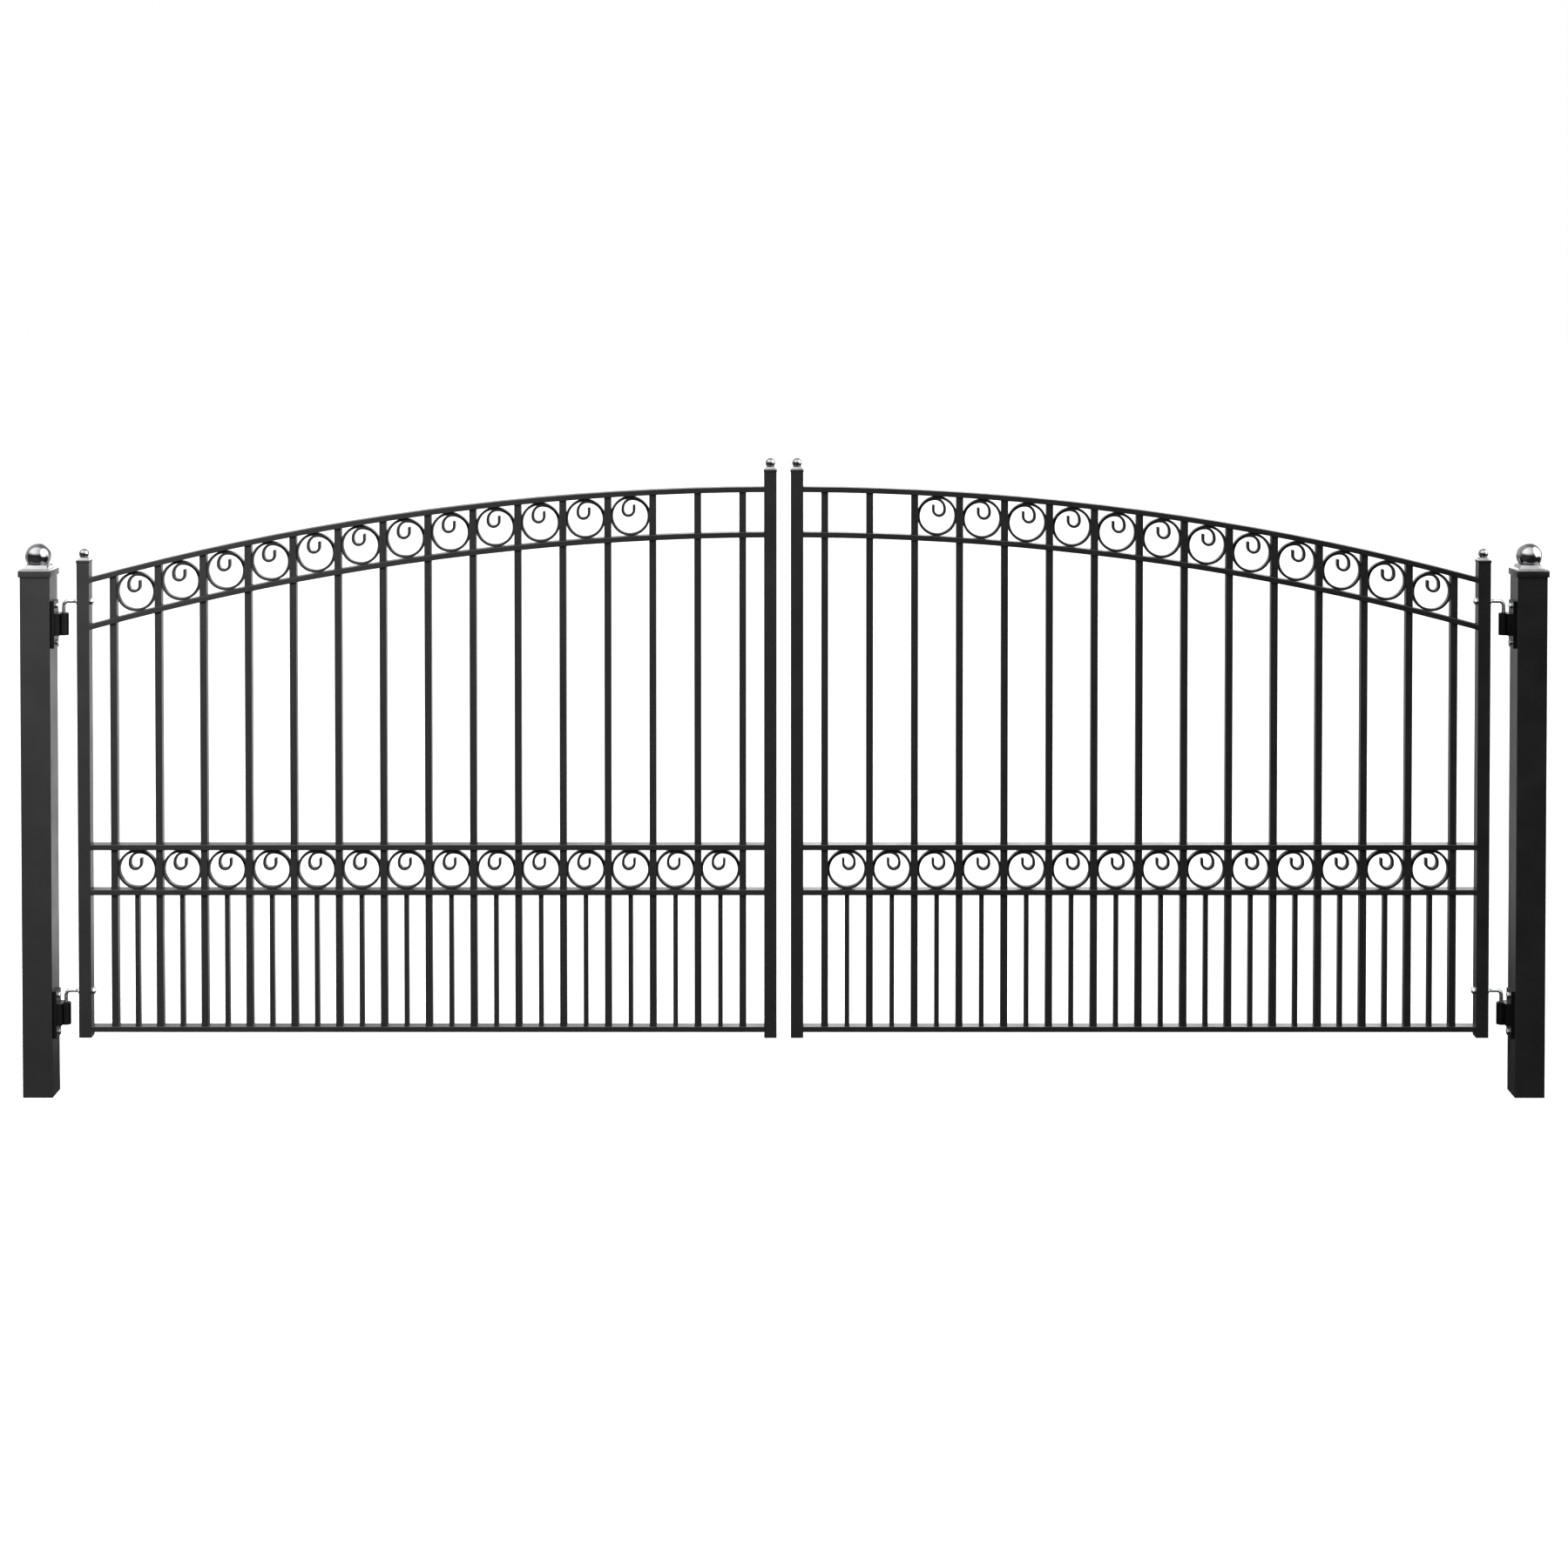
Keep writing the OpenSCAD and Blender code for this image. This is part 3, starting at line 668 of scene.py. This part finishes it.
# %% The flat bar
RING = 66.35 * MM  # outer radius
BAR = 8.6 * MM  # thickness, seen from the front
BAR_DEPTH = 24 * MM
CORNER = 1.7 * MM  # rolled corners of the bar
LEAF_Y = -11 * MM  # middle of a leaf
BEND_STEP_DEG = 7
SAME_POINT = 0.02 * MM


def bar_section(x, z):
    """A flat bar's section at a point, square to a bend that starts straight up."""
    start_clean()
    bpy.ops.mesh.primitive_plane_add(size=1, location=(x, LEAF_Y, z))
    bar = bpy.context.object
    bar.scale = (BAR, BAR_DEPTH, 1)
    bpy.ops.object.transform_apply(location=True, rotation=False, scale=True)
    bpy.ops.object.mode_set(mode="EDIT")
    bpy.ops.mesh.select_all(action="SELECT")
    bpy.ops.mesh.bevel(offset=CORNER, segments=3, affect="VERTICES")
    bpy.ops.mesh.select_all(action="SELECT")
    return bar


def bend(x, z, degrees):
    """Spins the chosen end of the bar about a point, anticlockwise seen from the street."""
    bpy.ops.mesh.spin(
        steps=max(4, round(abs(degrees) / BEND_STEP_DEG)), angle=math.radians(degrees),
        center=(x, LEAF_Y, z), axis=(0, 1, 0), use_auto_merge=True,
    )


def clear_inside():
    """Merges the doubles and clears any section that the bends left inside the bar."""
    bpy.ops.mesh.select_mode(type="FACE")
    bpy.ops.mesh.select_all(action="SELECT")
    bpy.ops.mesh.remove_doubles(threshold=SAME_POINT)
    bpy.ops.mesh.select_all(action="DESELECT")
    bpy.ops.mesh.select_interior_faces()
    bpy.ops.mesh.delete(type="FACE")


def trim_at_pickets():
    """Cuts the bar flat where it meets the picket on each side of its bay."""
    for way in (-1, 1):
        bpy.ops.mesh.select_all(action="SELECT")
        bpy.ops.mesh.bisect(
            plane_co=(way * half_bay, 0, 0), plane_no=(way, 0, 0), use_fill=True, clear_outer=True
        )


def finish_bar(bar):
    """Turns the bar's faces outwards and leaves edit mode."""
    bpy.ops.mesh.select_all(action="SELECT")
    bpy.ops.mesh.normals_make_consistent(inside=False)
    bpy.ops.object.mode_set(mode="OBJECT")
    print("bent bar:", len(bar.data.polygons), "faces")


# %% The ring
ring = bar_section(RING - BAR / 2, 0)
bend(0, 0, 360)
clear_inside()
trim_at_pickets()
finish_bar(ring)
print("ring:", round(2 * RING / MM, 1), "mm across")

# %% The curl
turn_x, turn_r, turn_z = 0.11 * RING, 0.487 * RING, 0.369 * RING
join_r = 0.83 * RING
join_z = turn_z + turn_r - join_r
hook_r, hook_z, tip_z = 0.284 * RING, 0.294 * RING, 0.564 * RING
hook_x = turn_x - turn_r + hook_r
JOIN_FROM = 14  # degrees above level where the curl leaves the ring
TIP = 1.2 * MM
TIP_NARROWS = (0.72, 0.9, 1)

curl = bar_section(turn_x + join_r, join_z)
bpy.ops.transform.rotate(
    value=math.radians(JOIN_FROM), orient_axis="Y", center_override=(turn_x, LEAF_Y, join_z)
)
bend(turn_x, join_z, 90 - JOIN_FROM)
bend(turn_x, turn_z, 90)
draw_out(z=hook_z - turn_z)
bend(hook_x, hook_z, 180)
draw_out(z=tip_z - hook_z - TIP)
draw_out(z=TIP)
bpy.ops.transform.resize(value=TIP_NARROWS)
clear_inside()
trim_at_pickets()
finish_bar(curl)

scroll = settle(join_pieces([ring, curl]), "one_scroll", smooth_deg=40)
print("scroll:", len(scroll.data.polygons), "faces")

# %% [markdown]
# ## Scrolls in their bays
# The scroll is copied to each bay of the left leaf, each copy with its own mesh, and the
# copies of a band are joined. The right leaf's bands are the mirror image of the left's.

# %% Place the scrolls
def fill_band(name, places):
    """Copies the scroll to each place and joins the copies."""
    copies = []
    for x, z in places:
        copy = bpy.data.objects.new(name, scroll.data.copy())
        bpy.context.scene.collection.objects.link(copy)
        copy.data.transform(Matrix.Translation((x, 0, z)))
        copies.append(copy)
    band = join_pieces(copies)
    band.name = name
    return band


left_band = fill_band("left_band_scroll_bars", [(x, band_z) for x in bay_x])
left_arch = fill_band("left_arch_scroll_bars", [(x, arch_height(x)) for x in bay_x[:ARCH_BAYS]])
right_band = mirror_to_right(left_band, "right_band_scroll_bars")
right_arch = mirror_to_right(left_arch, "right_arch_scroll_bars")
for piece in (left_band, left_arch, right_band, right_arch):
    side, row = piece.name.split("_")[:2]
    stand_for(piece, powder_coat, "powder_black", side + "_leaf", f"{side}_{row}_scrolls")
bpy.data.objects.remove(scroll)
print("scrolls:", BAYS + ARCH_BAYS, "a leaf")

# %% [markdown]
# ## Nuts and bolt heads
# A hex nut is turned before it is tapped, so its corners are cut back to a cone at both
# faces, and the flats end in curved edges. The same is done here: a six-sided prism meets
# a round blank with bevelled rims, and only what both hold is kept.

# %% A turned hex
HEX = math.cos(math.radians(30))  # half across the flats, as a share of the corner's radius
TURNED_PAST_FLAT = 0.2 * MM
TURNED_SLOPE = 0.5
ROUND = 48  # sides of a round bar
TINY = 0.01 * MM


def rod_blank(sides, radius, thickness):
    """A prism standing on the ground plane, with its axis up."""
    bpy.ops.mesh.primitive_cylinder_add(
        vertices=sides, radius=radius, depth=thickness, location=(0, 0, thickness / 2)
    )
    return bpy.context.object


def hex_blank(thickness, across_flats, faces):
    """A chamfered hex standing on the ground plane, turned at its upper (1) or lower (-1) face."""
    corner = across_flats / 2 / HEX
    start_clean()
    prism = rod_blank(6, corner, thickness)
    blank = rod_blank(ROUND, corner, thickness)
    turned = corner - across_flats / 2 + TURNED_PAST_FLAT
    for way in faces:
        choose_level_faces(blank, way)
        bpy.ops.mesh.inset(thickness=turned)
        bpy.ops.object.mode_set(mode="OBJECT")
        for v in blank.data.vertices:
            at_face = abs(v.co.z - way * thickness / 2) < TINY
            if at_face and v.co.xy.length > corner - TINY:
                v.co.z -= way * turned * TURNED_SLOPE
    use_modifier(prism, "BOOLEAN", operation="INTERSECT", object=blank, solver="EXACT")
    bpy.data.objects.remove(blank)
    return prism


def drill(piece, radius, depth):
    """A hole along the axis of a hex."""
    bpy.ops.object.select_all(action="DESELECT")
    bpy.ops.mesh.primitive_cylinder_add(
        vertices=ROUND, radius=radius, depth=4 * depth, location=(0, 0, 0)
    )
    drill_bit = bpy.context.object
    use_modifier(piece, "BOOLEAN", operation="DIFFERENCE", object=drill_bit, solver="EXACT")
    bpy.data.objects.remove(drill_bit)


def copies_along(pattern, name, points):
    """Copies of a piece at several points, its axis turned along the gate, joined in one mesh."""
    made = []
    for point in points:
        copy = bpy.data.objects.new(name, pattern.data.copy())
        bpy.context.scene.collection.objects.link(copy)
        copy.data.transform(pattern.matrix_world)
        copy.data.transform(Matrix.Translation(point) @ ALONG_X)
        made.append(copy)
    return settle(join_pieces(made), name, smooth_deg=30)


ALONG_X = Matrix.Rotation(math.radians(90), 4, "Y")
print("a hex's corner stands", round(100 * (1 / HEX - 1)), "percent past its flats")

# %% Nuts
LEG_RADIUS = 6.5 * MM
THREAD_ROOM = 0.05 * MM
NUT_ACROSS = 21 * MM
NUT_THICKNESS = {"jam": 5 * MM, "stile": 9 * MM}
BOTH_FACES = (1, -1)

leg_z = [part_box(f"left_{level}_j_bolt")[1][2] - LEG_RADIUS for level in LEVELS]
for kind, thickness in NUT_THICKNESS.items():
    nut = hex_blank(thickness, NUT_ACROSS, BOTH_FACES)
    drill(nut, LEG_RADIUS + THREAD_ROOM, thickness)
    lo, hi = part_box(f"left_{kind}_nuts")
    pair = copies_along(nut, f"left_{kind}_nut_pair", [(lo[0], LEAF_Y, z) for z in leg_z])
    twin = mirror_to_right(pair, f"right_{kind}_nut_pair")
    stand_for(pair, zinc_plate, "zinc", "left_leaf", f"left_{kind}_nuts")
    stand_for(twin, zinc_plate, "zinc", "right_leaf", f"right_{kind}_nuts")
    bpy.data.objects.remove(nut)
    print(kind, "nuts:", round(thickness / MM, 1), "mm thick")

# %% Plate bolts
HEAD = 7 * MM  # with its washer face
HEAD_ACROSS = 17 * MM
WASHER = 1.2 * MM
WASHER_RADIUS = 8.4 * MM
SHANK_RADIUS = 5 * MM
SHANK_TIP = 1 * MM
TIP_SHARE = 0.8
BOLT_FROM_MIDDLE = 61 * MM
UPPER_FACE = (1,)

lo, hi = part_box("left_plate_bolts")
length = hi[0] - lo[0]
head = hex_blank(HEAD - WASHER, HEAD_ACROSS, UPPER_FACE)
head.data.transform(Matrix.Translation((0, 0, WASHER)))
start_clean()
washer = rod_blank(ROUND, WASHER_RADIUS, WASHER)
choose_level_faces(washer, -1)
bpy.ops.mesh.inset(thickness=WASHER_RADIUS - SHANK_RADIUS)
raise_face(-(length - HEAD - SHANK_TIP))
raise_face(-SHANK_TIP, TIP_SHARE)
bpy.ops.object.mode_set(mode="OBJECT")
bolt = join_pieces([head, washer])

bolt_points = []
for level in LEVELS:
    plate_lo, plate_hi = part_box(f"left_{level}_hinge_plate")
    middle_z = (plate_lo[2] + plate_hi[2]) / 2
    for z in (middle_z - BOLT_FROM_MIDDLE, middle_z + BOLT_FROM_MIDDLE):
        bolt_points.append((hi[0] - HEAD, LEAF_Y, z))
bolts = copies_along(bolt, "left_plate_bolt_set", bolt_points)
twin = mirror_to_right(bolts, "right_plate_bolt_set")
stand_for(bolts, zinc_plate, "zinc", "posts", "left_plate_bolts")
stand_for(twin, zinc_plate, "zinc", "posts", "right_plate_bolts")
bpy.data.objects.remove(bolt)
print("plate bolts: 8, length", round(length / MM, 1), "mm")

# %% [markdown]
# ## The J-bolts
# A J-bolt is a plain rod, threaded at one end and bent square near the other. The bent leg
# drops into the barrel. The rod's round section is drawn at its foot, extruded up, spun
# through the bend and extruded along the level leg. The thread is cut as fine ridges that
# narrow and widen by turns, at the real pitch.

# %% J-bolts
BEND_RADIUS = 15 * MM
PITCH = 1.75 * MM
THREAD_DEPTH = 0.9 * MM
THREAD_BEFORE_NUT = 9 * MM
FOOT = 0.8 * MM  # chamfer under the leg
THREAD_END = 1.2 * MM
THREAD_END_SHARE = 0.85


def make_j_bolt(name, node):
    """A J-bolt in the box of its node, which belongs to the left leaf."""
    lo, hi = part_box(node)
    foot_x = lo[0] + LEG_RADIUS
    bend_x, bend_z = foot_x + BEND_RADIUS, hi[2] - LEG_RADIUS - BEND_RADIUS
    start_clean()
    bpy.ops.mesh.primitive_circle_add(
        vertices=32, radius=LEG_RADIUS - FOOT, fill_type="NGON", location=(foot_x, LEAF_Y, lo[2])
    )
    rod = bpy.context.object
    bpy.ops.object.transform_apply(location=True, rotation=False, scale=False)
    bpy.ops.object.mode_set(mode="EDIT")
    bpy.ops.mesh.select_all(action="SELECT")
    raise_face(FOOT, LEG_RADIUS / (LEG_RADIUS - FOOT))
    raise_face(bend_z - lo[2] - FOOT)
    bpy.ops.mesh.spin(
        steps=16, angle=math.radians(-90), center=(bend_x, LEAF_Y, bend_z),
        axis=(0, 1, 0), use_auto_merge=True,
    )
    thread_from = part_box("left_jam_nuts")[0][0] - THREAD_BEFORE_NUT
    draw_out(x=thread_from - bend_x)
    x, at_crest, narrow = thread_from, True, (LEG_RADIUS - THREAD_DEPTH) / LEG_RADIUS
    while x + PITCH / 2 < hi[0] - THREAD_END:
        draw_out(x=PITCH / 2)
        share = narrow if at_crest else 1 / narrow
        bpy.ops.transform.resize(value=(1, share, share))
        x, at_crest = x + PITCH / 2, not at_crest
    draw_out(x=hi[0] - x)
    bpy.ops.transform.resize(value=(1, THREAD_END_SHARE, THREAD_END_SHARE))
    clear_inside()
    finish_bar(rod)
    return settle(rod, name, smooth_deg=30)


for level in LEVELS:
    rod = make_j_bolt(f"left_{level}_j_bolt_rod", f"left_{level}_j_bolt")
    twin = mirror_to_right(rod, f"right_{level}_j_bolt_rod")
    stand_for(rod, zinc_plate, "zinc", "left_leaf", f"left_{level}_j_bolt")
    stand_for(twin, zinc_plate, "zinc", "right_leaf", f"right_{level}_j_bolt")
print("J-bolts: 4, thread pitch", PITCH / MM, "mm")
